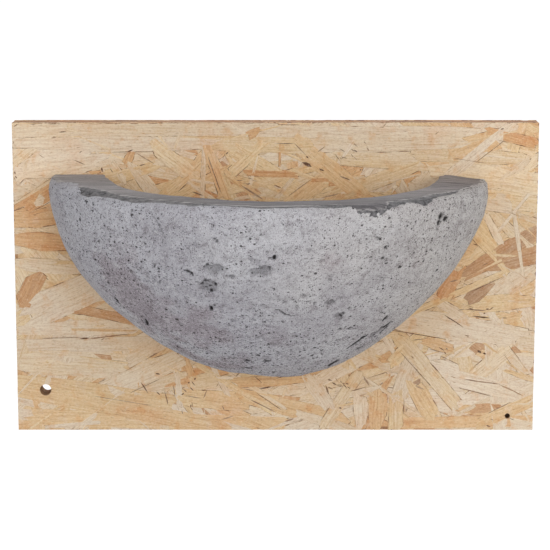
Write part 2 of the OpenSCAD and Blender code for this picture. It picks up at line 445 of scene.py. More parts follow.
class StrandFace:  # gathers the strands of one face of the board into one mesh
    def __init__(self, surface, inward):
        self.surface, self.inward = surface, inward  # y of the face, and the way into the board
        self.points, self.faces = [], []
        self.tone, self.shade, self.rim = [], [], []
        self.grain, self.islands, self.islandOf, self.flat = [], [], [], []

    def add(self, rng, x, z, length, width, angle, tone, depth, holes, shape=strandOutline, edgeTone=None):
        turn = math.radians(angle)
        along, across = (math.cos(turn), math.sin(turn)), (-math.sin(turn), math.cos(turn))
        outline = [(x + u * along[0] + v * across[0], z + u * along[1] + v * across[1])
                   for u, v in shape(rng, length, width)]
        tuck = rng.uniform(0.0, boardLook["tuck"])
        for sign in (1, -1):
            outline = keepSide(outline, (sign, 0), halfWide - tuck)
        for sign in (1, -1):
            outline = keepSide(outline, (0, sign), halfHigh - tuck)
        tilt = [rng.uniform(-most, most) for most in boardLook["tilt"]]
        least = boardLook["least"][0] + rng.uniform(0.0, boardLook["least"][1])
        if edgeTone is not None:
            tilt, least = (0.0, 0.0), 0.0
        start = [rng.uniform(0, boardLook["grainSpread"]) for k in range(2)]
        shade = rng.uniform(0.0, 1.0)
        if len(outline) < 3 or abs(areaOf(outline)) < boardLook["leastArea"]:
            return
        pieces = [outline]
        reachAll = length / 2 + width
        for hole in holes:
            if math.hypot(x - hole[0], z - hole[1]) < reachAll + hole[2]:
                pieces = [part for whole in pieces for part in cutHole(whole, hole)]
        whole = len(pieces) == 1 and shape is not splitOutline
        for piece in pieces:
            local = [((px - x) * along[0] + (pz - z) * along[1], (px - x) * across[0] + (pz - z) * across[1])
                     for px, pz in piece]
            self.addPrism(local, (x, z, along, across), (length / 2, width / 2), (depth, least), tilt, start,
                          (tone, tone if edgeTone is None else edgeTone), shade, whole)

    def addPrism(self, local, pose, half, depths, tilt, start, tones, shade, whole):
        x, z, along, across = pose
        us, vs = [p[0] for p in local], [p[1] for p in local]
        wide, high = max(us) - min(us), max(vs) - min(vs)
        if min(wide, high) < boardLook["leastSide"]:
            return
        midU, midV = (max(us) + min(us)) / 2, (max(vs) + min(vs)) / 2
        ring = min(boardLook["rimWidth"], boardLook["rimShare"] * min(wide, high)) if whole else 0.0
        pull = (1 - 2 * ring / wide, 1 - 2 * ring / high)
        inner = [(midU + (u - midU) * pull[0], midV + (v - midV) * pull[1]) for u, v in local]

        def lie(u, v, extra):
            deep = depths[0] + tilt[0] * u / half[0] + tilt[1] * v / half[1]
            deep = min(max(deep, depths[1]), boardLook["deepest"]) + extra
            spot = (x + u * along[0] + v * across[0], z + u * along[1] + v * across[1])
            return (min(max(spot[0], -halfWide), halfWide), self.surface + self.inward * deep,
                    min(max(spot[1], -halfHigh), halfHigh))

        first, count = len(self.points), len(local)
        loops = ((inner, 0.0, 0.0, 0.0), (local, boardLook["rimDrop"], 1.0, 0.0),
                 (local, boardLook["strandThick"], 1.0, boardLook["wallFold"]))
        for row, (ringPoints, extra, rim, fold) in enumerate(loops):
            for u, v in ringPoints:
                self.points.append(lie(u, v, extra))
                self.tone.append(tones[min(row, 1)])
                self.shade.append(shade)
                self.rim.append(rim if whole else 0.0)
                self.grain.append((start[0] + u, start[1] + v))
                self.flat.append((u - min(us) + math.copysign(fold, u - midU),
                                  v - min(vs) + math.copysign(fold, v - midV)))
                self.islandOf.append(len(self.islands))
        self.islands.append((wide, high))
        for k in range(count):
            n = (k + 1) % count
            for row in (0, 1):
                a, b = first + row * count, first + (row + 1) * count
                self.faces.append((a + k, b + k, b + n, a + n))
        self.faces.append(tuple(first + k for k in range(count)))
        self.faces.append(tuple(first + 2 * count + k for k in reversed(range(count))))

    def pack(self):  # places for the strands side by side on a square sheet, tallest rows first
        gap = boardLook["islandGap"]
        order = sorted(range(len(self.islands)), key=lambda k: -self.islands[k][1])
        side = math.sqrt(sum((w + gap) * (h + gap) for w, h in self.islands))
        while True:
            places, x, y, row = {}, gap, gap, 0.0
            for k in order:
                wide, high = self.islands[k]
                if x + wide + gap > side:
                    x, y, row = gap, y + row + gap, 0.0
                places[k] = (x, y)
                x, row = x + wide + gap, max(row, high)
            if y + row + gap <= side:
                return places, side
            side *= 1.02

    def build(self, name):
        places, side = self.pack()
        flat = (np.array(self.flat) + np.array([places[k] for k in self.islandOf])) / side
        return strandMesh(name, self.points, self.faces, (self.tone, self.shade, self.rim), self.grain, flat)


def strandMesh(name, points, faces, marks, grain, flat):  # marks and grain are what strandFinish reads
    mesh = bpy.data.meshes.new(name)
    mesh.from_pydata([tuple(c * mm for c in p) for p in points], [], faces)
    for key, values in zip(("strandTone", "strandShade", "strandRim"), marks):
        setFloats(mesh, key, values)
    corners = cornersOf(mesh)
    setMap(mesh, "grain", np.array(grain)[corners])
    setMap(mesh, "OFBake", np.array(flat)[corners])
    work = bmesh.new()
    work.from_mesh(mesh)
    bmesh.ops.recalc_face_normals(work, faces=work.faces)
    work.to_mesh(mesh)
    work.free()
    return mesh


def pickTone(rng):
    tones = boardLook["tones"]
    tone = rng.choices([t for t, often in tones], [often for t, often in tones])[0]
    spread = boardLook["toneSpread"]
    return min(max(tone + rng.uniform(-spread, spread), 0.0), 1.0)


def scatter(rng, face, holes, share):
    for count, depths, lengths, widths in boardLook["layers"]:
        for k in range(count):
            length = rng.uniform(*lengths)
            width = min(rng.uniform(*widths), length * boardLook["widest"])
            x, z = rng.uniform(-halfWide, halfWide), rng.uniform(-halfHigh, halfHigh)
            level = rng.random() < boardLook["levelShare"]
            angle = rng.gauss(0, boardLook["levelTurn"]) if level else rng.uniform(-90, 90)
            face.add(rng, x, z, length, width, angle, pickTone(rng), share * rng.uniform(*depths), holes)


def addSplits(rng, face):  # the listed splits, the clusters, borders of the upper strands, and strays
    # each split is a flat dark strip: painted shade in the crack
    def add(x, z, length, width, angle):
        face.add(rng, x, z, length, width, angle, boardLook["splitShadeTone"], 0.0, wallHoles, splitOutline,
                 boardLook["splitShadeEdge"])

    for split in splits:
        add(*split)
    for x, z, spreadX, spreadZ, count, angle in splitGroups:
        for k in range(count):
            add(rng.gauss(x, spreadX), rng.gauss(z, spreadZ), rng.uniform(*boardLook["groupLength"]),
                rng.uniform(*boardLook["groupWidth"]), rng.gauss(angle, boardLook["groupTurn"]))
    for x, z, length, width, angle, tone, depth in frontStrands:
        if depth > boardLook["borderDepth"] or length < boardLook["borderLeast"]:
            continue
        turn = math.radians(angle)
        for side in (-0.5, 0.5):
            long = length * rng.uniform(*boardLook["borderRun"])
            slide = rng.uniform(-0.5, 0.5) * (length - long)
            wide, lean = rng.uniform(*boardLook["borderWidth"]), rng.gauss(0, boardLook["borderLean"])
            if rng.random() < boardLook["borderShare"]:
                add(x + slide * math.cos(turn) - side * width * math.sin(turn),
                    z + slide * math.sin(turn) + side * width * math.cos(turn), long, wide, angle + lean)
    for k in range(boardLook["strays"]):
        add(rng.uniform(-halfWide, halfWide), rng.uniform(-halfHigh, halfHigh),
            rng.uniform(*boardLook["strayLength"]), rng.uniform(*boardLook["strayWidth"]),
            rng.gauss(0, boardLook["strayTurn"]))


def strandFinish(name, dark):
    look = Finish(name, **{"Specular IOR Level": 0.35})
    grain = look.node("ShaderNodeUVMap", {"uv_map": "grain"})
    tone, shade, rim = (look.attribute(n) for n in ("strandTone", "strandShade", "strandRim"))
    fibre = look.clouds(look.stretch(grain, 0.05, 1.3, 1), 5.0, 0.65)
    hairs = look.clouds(look.stretch(grain, 0.16, 3.6, 1), 3.0, 0.6)
    drift = look.clouds(look.stretch(grain, 0.03, 0.14, 1), 3.0, 0.55)
    across = look.node("ShaderNodeSeparateXYZ", None, {0: grain}, out="Y")
    rings = look.node("ShaderNodeMath", {"operation": "SINE"}, {0: across * 2.6 + drift * 30})
    flecks = look.clouds(look.stretch(grain, 0.6, 4.0, 1), 3.0)
    dashes = look.clouds(look.stretch(grain, 0.28, 2.2, 1), 2.0)
    speck = look.clouds(look.place(1.0), 2.0, 0.6)
    chips = look.clouds(look.stretch(grain, 0.17, 0.6, 1), 3.0, 0.6)
    bloom = look.clouds(look.place(0.05), 4.0, 0.6)  # colour that drifts over the whole face
    patch = look.clouds(look.place(0.16), 3.0, 0.6)
    shown = tone + (drift - 0.5) * 0.30 + (bloom - 0.5) * 0.25 * (1 - tone)
    wood = look.node("ShaderNodeValToRGB", {"stops": [
        (0.00, paint(232, 218, 198)), (0.18, paint(230, 213, 187)), (0.34, paint(231, 208, 168)),
        (0.50, paint(227, 195, 153)), (0.66, paint(218, 174, 128)), (0.80, paint(204, 167, 131)),
        (0.93, paint(177, 150, 125)), (1.00, paint(100, 70, 52))]}, {"Fac": shown})
    wood = look.tint(0.30 - 0.30 * shade, wood, paint(226, 212, 194))
    east, low = look.axis("X"), look.axis("Z")
    middle, rimHigh, footWide, footHigh = boardLook["bowlFoot"]
    span = ((east - middle) / footWide) ** 2 + ((rimHigh - low) / footHigh) ** 2  # 1 at the bowl's foot, where the board gets painted shade
    wood = look.wash(wood, [
        ("MULTIPLY", patch, 0.52, 0.74, 0.55, (244, 206, 162)),
        ("MULTIPLY", bloom, 0.50, 0.70, 0.40, (250, 226, 214)),
        ("MIX", patch, 0.46, 0.28, 0.30, (230, 214, 194)),
        ("MULTIPLY", rings, 0.20, 1.00, 0.14, (216, 178, 138)),
        ("MULTIPLY", speck, 0.52, 0.72, 0.35, (224, 198, 170)),
        ("MIX", speck, 0.46, 0.28, 0.30, (244, 230, 210)),
        ("MULTIPLY", fibre, 0.46, 0.74, 0.42 + 0.4 * tone, (214, 180, 144)),
        ("MIX", fibre, 0.44, 0.26, 0.28, (240, 224, 200)),
        ("MULTIPLY", hairs, 0.50, 0.72, 0.40, (208, 174, 140)),
        ("MULTIPLY", flecks, 0.57, 0.74, 0.65, (172, 132, 100)),
        ("MULTIPLY", dashes, 0.62, 0.74, 0.55, (166, 124, 92)),
        # painted shade: broken dark lines along each strand's border, where the step to its neighbour falls
        # in shade
        ("MIX", rim + (chips - 0.5) * 2.0, 0.35, 1.10, 0.40, (204, 170, 132)),
        ("MULTIPLY", rim + (chips - 0.5) * 3.4, 0.80, 1.20, 0.90, (128, 90, 64)),
        ("MULTIPLY", low, 65.0, -65.0, 1.0, (247, 246, 245)),  # painted shade: the board darker towards its lower edge, where less light reaches it
        # painted shade and warm bounce light on the board round the bowl's foot and inside the nest
        ("MULTIPLY", span, 1.4, 1.1, look.rise(low, 62.0, 46.0) * 0.55, (255, 242, 224)),
    ])
    if dark:
        wood = look.tint(1.0, wood, dark)
    height = fibre * 0.6 + hairs * 0.3 + look.rise(rings, 0.2, 1.0) * 0.15
    height = height - look.rise(flecks, 0.6, 0.8) * 0.5
    return look.finish(wood, 0.58 + fibre * 0.25, height, 0.35, 0.12)


def coreFinish():
    look = Finish("boardCore", **{"Specular IOR Level": 0.2})
    speck = look.clouds(look.place(0.35), 4.0, 0.65)
    layers = look.clouds(look.stretch(look.place(1.0), 0.06, 1.4, 0.06), 3.0, 0.6)
    wood = look.mix(speck, paint(158, 116, 82), paint(206, 166, 124))
    wood = look.wash(wood, [("MULTIPLY", layers, 0.4, 0.7, 0.7, (150, 112, 78))])
    return look.finish(wood, 0.8 + 0.15 * speck, speck + layers, 0.5, 0.4)


def boardCore():  # the board's own body, drawn in a little under its strands, with every hole
    mesh = frame["nodes"]["back_board"].data.copy()
    mesh.name = "boardCore"
    places = placesOf(mesh)
    near = 0.01
    for axis, half in ((0, halfWide), (2, halfHigh)):
        outer = np.abs(places[:, axis]) > half - near
        places[outer, axis] = np.sign(places[outer, axis]) * (half - boardLook["coreEdge"])
    places[places[:, 1] < boardFront + near, 1] = boardFront + boardLook["coreFront"]
    places[places[:, 1] > boardBack - near, 1] = boardBack - boardLook["coreBack"]
    mesh.vertices.foreach_set("co", (places * mm).ravel())
    mesh.update()
    return mesh


edgeLook = {
    "seed": 7,
    "frontStart": 0.45,  # rows lie between these depths under the two faces
    "backStart": 0.25,
    "rowHeight": (0.35, 0.85),
    "flakeLength": (7, 44),
    "flakeDeep": 1.6,
    "gap": 0.05,
    "gapTimes": (0.4, 1, 1, 2.4),  # how wide the gaps are, by chance
    "proud": (0.14, 0.16, 0.18, 0.22, 0.3),  # how far the flakes stay below the edge, and what chance adds
    "proudMore": 0.05,
    "bow": 0.12,
    "cornerGap": 0.15,
    "leastRow": 0.3,
    "lastFlake": 3,  # a shorter rest joins the flake before it
    "tones": (0.40, 0.95),
    "grainStep": (300, 3, 50),  # grain apart for each edge, across, and for each tone
    "sheetMargin": (5, 2),
    "sheetStep": 16,  # each edge takes this much of the sheet's height
    "sheetHigh": 66,
    "sheetFold": 0.05,
}


def flakeRows(rng, halfLong):  # rows of flake ends along one edge: y, height, start and end of each
    back = boardBack - edgeLook["backStart"]
    y = boardFront + edgeLook["frontStart"]
    while y < back - edgeLook["leastRow"]:
        high = min(rng.uniform(*edgeLook["rowHeight"]), back - y)
        along, last = edgeLook["cornerGap"] - halfLong, halfLong - edgeLook["cornerGap"]
        while along < last:
            end = min(along + rng.uniform(*edgeLook["flakeLength"]), last)
            if halfLong - end < edgeLook["lastFlake"]:
                end = last
            yield y, high, along, end
            along = end
        y += high


def boardEdges():  # flake ends on the four sawn edges
    rng = random.Random(edgeLook["seed"])
    points, faces, tones, shades, grains, flats = [], [], [], [], [], []
    ring = (0, 1, 2, 5, 4, 3)
    block = [(0, 1, 4, 3), (1, 2, 5, 4), (9, 10, 7, 6), (10, 11, 8, 7)]
    block += [(a, a + 6, b + 6, b) for a, b in zip(ring, ring[1:] + ring[:1])]
    grainSide, grainAcross, grainTone = edgeLook["grainStep"]
    marginX, marginY = edgeLook["sheetMargin"]
    lowest, highest = boardFront + edgeLook["leastRow"], boardBack - edgeLook["cornerGap"]
    edges = [(axis, sign) for axis in (0, 2) for sign in (1, -1)]
    for side, (axis, sign) in enumerate(edges):
        halfLong, halfOut = (halfWide, halfHigh) if axis == 0 else (halfHigh, halfWide)
        for y, high, along, end in flakeRows(rng, halfLong):
            proud = rng.choice(edgeLook["proud"]) + rng.uniform(0, edgeLook["proudMore"])
            gap = edgeLook["gap"] * rng.choice(edgeLook["gapTimes"])
            bow = [rng.uniform(-edgeLook["bow"], edgeLook["bow"]) for k in range(3)]
            spans = [along + gap, (along + end) / 2, end - gap]
            tone, shade = rng.uniform(*edgeLook["tones"]), rng.random()
            faces += [[len(points) + k for k in corners] for corners in block]
            for depth, fold in ((proud, edgeLook["sheetFold"]), (edgeLook["flakeDeep"], 0.0)):
                for place, lift in [(k, lift) for lift in (gap, high - gap) for k in range(3)]:
                    spot = [0.0, min(max(y + bow[place] + lift, lowest), highest), 0.0]
                    spot[axis] = spans[place]
                    spot[2 - axis] = sign * (halfOut - depth)
                    points.append(spot)
                    tones.append(tone)
                    shades.append(shade)
                    grains.append((spans[place] + grainSide * side,
                                   spot[1] * grainAcross + grainTone * tone))
                    flats.append((spans[place] + halfLong + marginX,
                                  side * edgeLook["sheetStep"] + (spot[1] - boardFront) + marginY - fold))
    sheet = (2 * (max(halfWide, halfHigh) + marginX), edgeLook["sheetHigh"])
    marks = (tones, shades, [0.0] * len(points))
    return strandMesh("boardEdges", points, faces, marks, grains, np.array(flats) / sheet)


woodFinish = strandFinish("strandWood", None)
edgeFinish = strandFinish("sawnEdge", paint(216, 204, 194))
rng = random.Random(boardLook["seed"])
frontFace = StrandFace(boardFront, 1)
scatter(rng, frontFace, wallHoles, 1.0)
for strand in frontStrands:
    frontFace.add(rng, *strand, wallHoles)
for chip in darkChips:
    frontFace.add(rng, *chip, 1.0, 0.0, wallHoles, chipOutline, boardLook["chipEdge"])
addSplits(random.Random(boardLook["splitSeed"]), frontFace)
rearFace = StrandFace(boardBack, -1)
scatter(rng, rearFace, rearHoles, boardLook["rearDepth"])
addPiece("boardFront", frontFace.build("boardFront"), woodFinish, "back_board")
addPiece("boardRear", rearFace.build("boardRear"), woodFinish, "back_board")
addPiece("boardEdges", boardEdges(), edgeFinish, "back_board")
addPiece("boardCore", boardCore(), coreFinish(), "back_board")
print("board built:", len(frontFace.islands), "front strands,", len(rearFace.islands), "rear strands")


# Nest bowl: the cast half bowl with its dents, pores, slits and trowelled rim
bowlLow, bowlHigh = boxOf("nest_bowl")
bowlX = (bowlLow.x + bowlHigh.x) / 2
rimZ = bowlHigh.z

bowlLook = {
    "radius": 104.5, "height": rimZ - bowlLow.z, "wall": 23.0, "floor": 22.0,
    "sidePower": 1.7, "basePower": 1.66, "roundOut": 5.0, "roundIn": 3.0,
    "rings": 416,  # points round the rim, halved towards the axis
    "outerStep": 0.78, "rimStep": 0.8, "innerStep": 1.5,
    "seed": 19,
    "curveSteps": 400, "roundSteps": 12, "leastRing": 26,
    "plugClear": 0.05, "plugEnd": 0.5, "plugSides": 32,  # gaps round and past a plug, sides of its hole
    "sheetShare": 0.9, "sheetEdge": 0.01,
    "backStrip": (0.93, 0.06), "backSize": (97, 209),  # the hidden back takes a narrow strip of the sheet
    # lumps of the surface: how fine, seed, height on the outside, the rim and the cup
    "lumps": [(0.022, 1, (0.9, 0.3, 0.3)), (0.07, 2, (0.42, 0.2, 0.42)),
              (0.21, 3, (0.2, 0.12, 0.2)), (0.6, 4, (0.1, 0.05, 0.1))],
    "frontFlat": 0.6, "flatFrom": (75, 100),  # the front is flatter by this much, between these radii
    # how the hand-filled mould leaves the true round, by drop below the rim
    "leftSide": [(0, -1.2), (8, -0.5), (15, 0.2), (22, 0.9), (30, 1.8), (40, 2.4), (50, 2.1), (62, 1.3),
                 (74, 0.8), (85, 0.2), (96, -1.4)],
    "rightSide": [(0, -1), (6, 0.6), (15, 1.1), (22, 0.5), (30, 0.4), (40, 0.4), (50, 0.1), (62, 0.1),
                  (74, 0.6), (85, 1.4), (91, 0.9), (96, 0.2)],
    # craters that stand out: x, z, radius, depth, how dark their painted shade is
    "craters": [(-29, 21, 2.8, 1.8, 0.7), (-26, 21.5, 3, 2, 0.75), (-9, 20.5, 3, 1.8, 0.75),
                (-5.5, 20.5, 3.2, 2.2, 0.75), (-9, 24.5, 2.4, 0.8, 0.5), (-29.5, 12.5, 3.8, 1.2, 0.7),
                (-19, 17.5, 1.4, 1.2, 0.7), (-32.5, 13.5, 0.9, 1.2, 0.9), (-31, 15, 0.9, 1.2, 0.9),
                (-29, 12.5, 0.8, 1.2, 0.9), (-28.5, 10, 0.9, 1.2, 1), (-26.5, 13.5, 0.9, 1.2, 0.9),
                (-30.5, 11.5, 0.8, 1, 0.8), (24, 3.5, 2.1, 1.4, 0.75), (28, -3.5, 2.5, 1.7, 0.75),
                (29.5, -4, 0.9, 1.2, 0.9), (73.5, 39, 3.4, 1, 0.6), (74, 40.5, 1.4, 1.7, 1),
                (76, 39, 1.3, 1.7, 1), (73, 37.5, 1.4, 1.5, 0.9), (-0.5, 27, 1.2, 1.6, 1),
                (49, 29, 1, 1.3, 1), (48, 23.5, 0.9, 1, 0.8), (49, 22, 0.8, 1, 0.7), (-29, 2, 1, 1.5, 1),
                (-28.5, 0.5, 1, 1.4, 1), (29, -11, 1.2, 1.1, 0.8), (27.5, -8.5, 1.2, 1.1, 0.7),
                (33.5, -11.5, 1.3, 1.1, 0.8), (33, 0, 1, 1, 0.8), (33.5, -32, 2.2, 0.6, 1),
                (39, -26, 2, 0.5, 0.8), (-34.5, 31.5, 1.8, 0.6, 0.3), (12, 7.5, 1.6, 0.8, 0.4),
                (-18.5, -5.5, 1.6, 0.9, 0.5), (-41.5, -20, 1.4, 1.1, 0.9), (-52, 34, 3.8, 0.8, 0.3),
                (-70, 25, 2.8, 0.7, 0.3), (-13, -29.5, 1.9, 0.5, 0.8), (-4, -29.5, 2, 0.5, 0.8),
                (24, 15.5, 1.1, 1, 0.7), (-60, 47, 1, 1, 0.9), (-64, 46, 0.9, 0.8, 0.7),
                (-50.5, 45.5, 0.9, 0.8, 0.8), (-13, -36, 2.2, 0.6, 1), (-20, -31, 1.6, 0.5, 0.7)],
    # slits: from x, z to x, z, then half width, depth and how dark their painted shade is
    "slits": [(33, -24.5, 42, -17.5, 1.3, 0.45, 1), (44, -18.5, 53, -13, 1.9, 0.5, 0.65),
              (50.5, -15, 53, -12.5, 1.8, 0.6, 1), (46, -20, 51.5, -15.5, 1.2, 0.4, 0.8),
              (25.5, -36, 28.5, -32.5, 2.5, 0.6, 1), (51, -8, 49.5, -10, 1.2, 0.5, 0.9),
              (-73, 0, -70.5, -2.5, 1.1, 0.8, 1), (-59, -9, -58, -12, 1.2, 0.8, 1),
              (-40, 20, -36, 18, 0.9, 0.8, 0.9), (0, 1, 8, -2.5, 0.8, 0.6, 0.8),
              (45, 15.5, 47.5, 13.5, 0.8, 0.5, 0.5), (47.5, 13.5, 50.5, 13.5, 0.8, 0.5, 0.5),
              (-55, 46, -49, 36.5, 0.8, 0.6, 0.6), (-13, -8.5, -1, -8.5, 1.6, 0.5, 0.3),
              (-3.5, 27, -1.5, 27, 0.7, 0.8, 0.8), (-87, 48, -85.5, 46, 0.9, 0.8, 1),
              (-83, 47.5, -82.5, 46, 0.9, 0.7, 0.9)],
    "slitStep": 0.6,
    "allDark": 0.75,  # darker marks get painted shade all over, others mostly at their upper wall
    "wideMark": 2, "floorDark": (0.58, 0.70),  # how dark the painted shade on the floor of a wide and of a small one is
    "browDark": 1.3,
    "snap": 8.0,  # marks this close below the rim are moved to its rounded edge
    # pits in the broken skin on the rim's top: x, y, radius, depth
    "rimPits": [(-84.5, -63.5, 1.4, 1.8), (-78, -69.5, 1.4, 1.6), (-76, -70.5, 1.3, 1.6),
                (-97, -50.5, 1.5, 1.8), (-88.5, -60, 1.3, 1), (-82, -66, 1.2, 1), (-70.5, -75, 1, 1),
                (-64, -79, 1, 0.9)],
    # broad hollows left by the hand-filled mould: x, z, reach, depth
    "hollows": [(-56, 30, 15, 0.9), (-68, 8, 12, 0.8), (-14, 2, 13, 0.7), (0, -13, 13, 0.9),
                (60, 24, 13, 0.8), (38, 8, 9, 0.6), (-34, -12, 11, 0.7), (26, 34, 12, 0.6),
                (-10, -41, 15, 1), (-14, -46.5, 8, 1.3), (-6, -47.5, 12, 1.7), (20, -43.5, 10, 1.2)],
    # pitted places: x, z, reach, number of pits; more are scattered by chance
    "pitted": [(-30, 12, 3.6, 12), (-51, 16.5, 4.5, 10), (-82, 38.5, 4, 12), (-74, 40.5, 5, 6),
               (3, 6.5, 3, 6), (12, 5, 5, 8), (-44, 3, 5, 7), (-26, 34, 5, 8), (76, 38.5, 3.4, 9),
               (-60, 12, 8, 12), (46, -20, 5, 10), (28.5, -5, 3, 7), (-9, 41, 5, 7)],
    "chancePitted": 46, "pitSize": (0.5, 0.9), "pitDepth": (0.4, 1.0), "pitDark": (0.15, 0.75),
    "pitReach": (2, 9), "pitCount": (2, 7),
    "pores": 60, "poreSize": (1.2, 2.2), "poreDepth": (0.3, 0.8), "poreDark": 0.35,
    # darker and lighter places, partly real stains and partly painted shade, with painted light where the
    # amount is below zero: x, z, reach, amount
    "stainsAndShading": [(-75, 17, 10, 0.6), (-65, 13, 9, 0.6), (-67, 2, 12, 0.7), (-56, 3, 10, 0.5),
               (-55, -8, 12, 0.6), (-42, -10, 12, 0.7), (-30, -14, 14, 0.6), (0, -13, 12, 0.5),
               (-16, -34, 16, 0.5), (64, 22, 9, 0.4), (88, 30, 9, 0.3), (-33, -1, 9, 0.45),
               (20, 25, 14, 0.35), (-72, 28, 8, 0.4), (-72, 42, 12, 0.35), (-58, -17, 7, 0.5),
               (-46, -24, 8, 0.6), (-37, -30, 8, 0.6), (-28, -34, 8, 0.5), (-3, 25, 8, 0.4),
               (8, 24, 8, 0.4), (26, 24, 10, 0.4), (20, -25, 9, -0.7), (30, -27, 7, -0.5),
               (-20, 30, 20, -0.5), (6, 35, 20, -0.6), (42, 41, 14, -0.5)],
    "skinThick": 0.12, "spallDeep": 0.35, "lipHigh": 0.12,
    "spillEven": 0.3,  # the rim's trowelled skin runs down over the face this far
    # and further here: x, reach along the rim, drop
    "spills": [(-93.5, 4.5, -6), (-85.5, 3, 1.4), (-75, 8, -1), (-62, 6, 0.8), (-51, 5, -1.4),
               (-36, 5, 0.8), (-23, 8, -1.6), (0, 12, 0.8), (22, 10, 1.6), (39, 5, 6), (47, 5, 6.5),
               (57, 6, 2), (66, 3.5, 6), (86, 4, -2)],
    # the skin is broken away this far in from the outer edge: place round the rim, reach
    "spallFrom": [(-1, -2), (-0.93, 0), (-0.88, 2.5), (-0.78, 3.5), (-0.65, 2.5), (-0.55, 2), (-0.5, -5),
                  (-0.38, -5), (-0.33, 2.5), (0, 2), (0.25, 3), (0.4, 4), (0.7, 5), (0.82, 7),
                  (0.88, 5.5), (0.93, 1.5), (1, -1)],
    # the rim's outer edge is worn off this deep: place round the rim, depth
    "edgeLoss": [(-1, 0), (0.3, 0), (0.45, 0.3), (0.6, 0.6), (0.78, 0.7), (0.81, 1.1), (0.845, 1.8),
                 (0.87, 1.4), (0.9, 0.4), (0.93, 0), (1, 0)],
    "spillEnds": (2.0, 0.4),  # drop of the skin at the left end and the right end
    "rimSquare": (0.55, 0.85),  # the left and right ends of the rim have sharper edges than its front
    "cupSquare": 0.75,
    # the cup's edge lies this far inside the true round: place round the rim, distance
    "cupPull": [(-1, 0.4), (-0.9988, 2.8), (-0.97, 3.2), (-0.92, 3.3), (-0.87, 3.7), (-0.79, 4.2),
                (-0.5, 2.5), (0, 1), (0.3, 2.5), (0.5, 4.2), (0.6, 3.4), (0.7, 2.6), (0.8, 2.2),
                (0.9, 2.2), (0.96, 3.2), (0.99, 3), (1, 1)],
    "rimTilt": (1.0, 0.5),  # lift of the rim: in the middle, and more at the left end
    "endSlope": 2.2,  # the right end of the rim slopes down to the outside
    "endLift": 0.9,  # the right end of the rim lies higher than its front
    "cupOver": 2.9,  # the cup lies this far to the right of the bowl's axis
}


def sectionPoint(radius, height, angle):  # quarter of a superellipse, rim at 0 degrees
    return (radius * max(math.cos(angle), 0.0) ** (2 / bowlLook["basePower"]),
            height * math.sin(angle) ** (2 / bowlLook["sidePower"]))


def sectionCurve(radius, height, drop):
    first, steps = math.asin((drop / height) ** (bowlLook["sidePower"] / 2)), bowlLook["curveSteps"]
    turns = [first + (math.pi / 2 - first) * k / steps for k in range(steps + 1)]
    return [sectionPoint(radius, height, turn) for turn in turns]


def evenly(points, step):  # the same line with points about step apart
    line = np.array(points)
    lengths = np.concatenate(([0], np.cumsum(np.linalg.norm(np.diff(line, axis=0), axis=1))))
    spots = np.linspace(0, lengths[-1], max(2, int(round(lengths[-1] / step)) + 1))
    return np.stack([np.interp(spots, lengths, line[:, k]) for k in (0, 1)], 1)


def bowlProfile():  # radius and drop from the underside, over the rim, to the cup's floor
    cupRadius = bowlLook["radius"] - bowlLook["wall"]
    cupHeight = bowlLook["height"] - bowlLook["floor"]
    roundOut, roundIn = bowlLook["roundOut"], bowlLook["roundIn"]
    outer = sectionCurve(bowlLook["radius"], bowlLook["height"], roundOut)
    inner = sectionCurve(cupRadius, cupHeight, roundIn)
    turns = [math.pi / 2 * k / bowlLook["roundSteps"] for k in range(bowlLook["roundSteps"] + 1)]
    rimOut = [(outer[0][0] - roundOut * (1 - math.cos(a)), roundOut * (1 - math.sin(a))) for a in turns]
    rimIn = [(inner[0][0] + roundIn * (1 - math.sin(a)), roundIn * (1 - math.cos(a))) for a in turns]
    flat = (outer[0][0] - roundOut, inner[0][0] + roundIn)
    parts = [evenly(outer[::-1], bowlLook["outerStep"]), evenly(rimOut + rimIn, bowlLook["rimStep"])[1:],
             evenly(inner, bowlLook["innerStep"])[1:]]
    zone = np.concatenate([np.full(len(p), k) for k, p in enumerate(parts)])
    return np.concatenate(parts), zone, flat


def ringCount(radius, zone):
    count = bowlLook["rings"] if zone < 2 else bowlLook["rings"] // 2
    share = radius / bowlLook["radius"] if zone < 2 else radius / (bowlLook["radius"] - bowlLook["wall"])
    while share < 0.5 and count > bowlLook["leastRing"]:
        count, share = count // 2, share * 2
    return count


def smooth(value, low, high):
    t = np.clip((value - low) / (high - low), 0, 1)
    return t * t * (3 - 2 * t)


def lumps(points, scale, seed):
    shift = Vector((seed * 17.3, seed * 5.1, seed * 9.7))
    return np.array([noise.noise(Vector(p) * scale + shift) for p in points])


